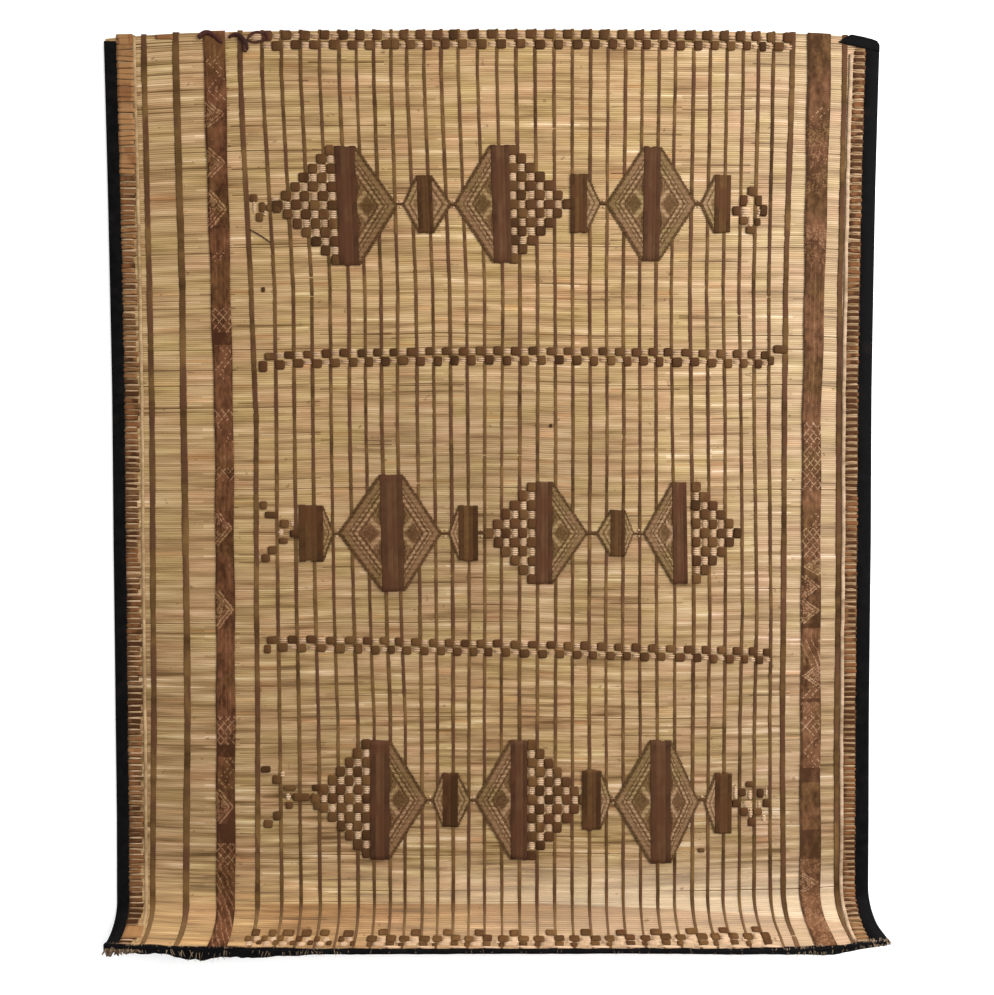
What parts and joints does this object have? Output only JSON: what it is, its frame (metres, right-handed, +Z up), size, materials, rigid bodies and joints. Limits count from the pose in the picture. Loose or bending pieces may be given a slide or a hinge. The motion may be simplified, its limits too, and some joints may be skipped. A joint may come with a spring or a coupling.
{
  "type": "tuareg mat",
  "caption": "Large rectangular mat of grass stalks woven through with narrow brown leather strips, with leather figures and black leather bindings, lying face up with its lower end curled up.",
  "frame": {"origin": "on the floor under the middle of the mat's box", "axes": "+X to the mat's right side, +Y to its flat top end, +Z up from the face; the lower end, at -Y, curls up"},
  "size_m": [1.5298, 1.8152, 0.0927],
  "materials": {
    "straw": "dry golden grass stalks, slightly glossy",
    "brown_leather": "worn matt brown leather strips",
    "rust_leather": "rust-brown leather lacing over pale stalk ends",
    "black_leather": "matt black leather binding",
    "grass_cord": "pale twisted grass cord"
  },
  "bodies": {
    "root": {"stalk_field": "straw", "leather_strip_01": "brown_leather", "leather_strip_02": "brown_leather", "leather_strip_03": "brown_leather", "leather_strip_04": "brown_leather", "leather_strip_05": "brown_leather", "leather_strip_06": "brown_leather", "leather_strip_07": "brown_leather", "leather_strip_08": "brown_leather", "leather_strip_09": "brown_leather", "leather_strip_10": "brown_leather", "leather_strip_11": "brown_leather", "leather_strip_12": "brown_leather", "leather_strip_13": "brown_leather", "leather_strip_14": "brown_leather", "leather_strip_15": "brown_leather", "leather_strip_16": "brown_leather", "leather_strip_17": "brown_leather", "leather_strip_18": "brown_leather", "leather_strip_19": "brown_leather", "leather_strip_20": "brown_leather", "leather_strip_21": "brown_leather", "leather_strip_22": "brown_leather", "leather_strip_23": "brown_leather", "leather_strip_24": "brown_leather", "leather_strip_25": "brown_leather", "leather_strip_26": "brown_leather", "leather_strip_27": "brown_leather", "leather_strip_28": "brown_leather", "leather_strip_29": "brown_leather", "leather_strip_30": "brown_leather", "leather_strip_31": "brown_leather", "leather_strip_32": "brown_leather", "leather_strip_33": "brown_leather", "leather_strip_34": "brown_leather", "leather_strip_35": "brown_leather", "woven_band_left": "brown_leather", "woven_band_right": "brown_leather", "figure_row_1": "brown_leather", "figure_row_2": "brown_leather", "figure_row_3": "brown_leather", "check_row_1": "brown_leather", "check_row_2": "brown_leather", "check_row_3": "brown_leather", "check_row_4": "brown_leather", "laced_edge_left": "rust_leather", "laced_edge_right": "rust_leather", "edge_cord_left": "grass_cord", "edge_cord_right": "grass_cord", "side_binding_left": "black_leather", "side_binding_right": "black_leather", "end_binding": "black_leather", "corner_fold": "black_leather"}
  },
  "joints": []
}
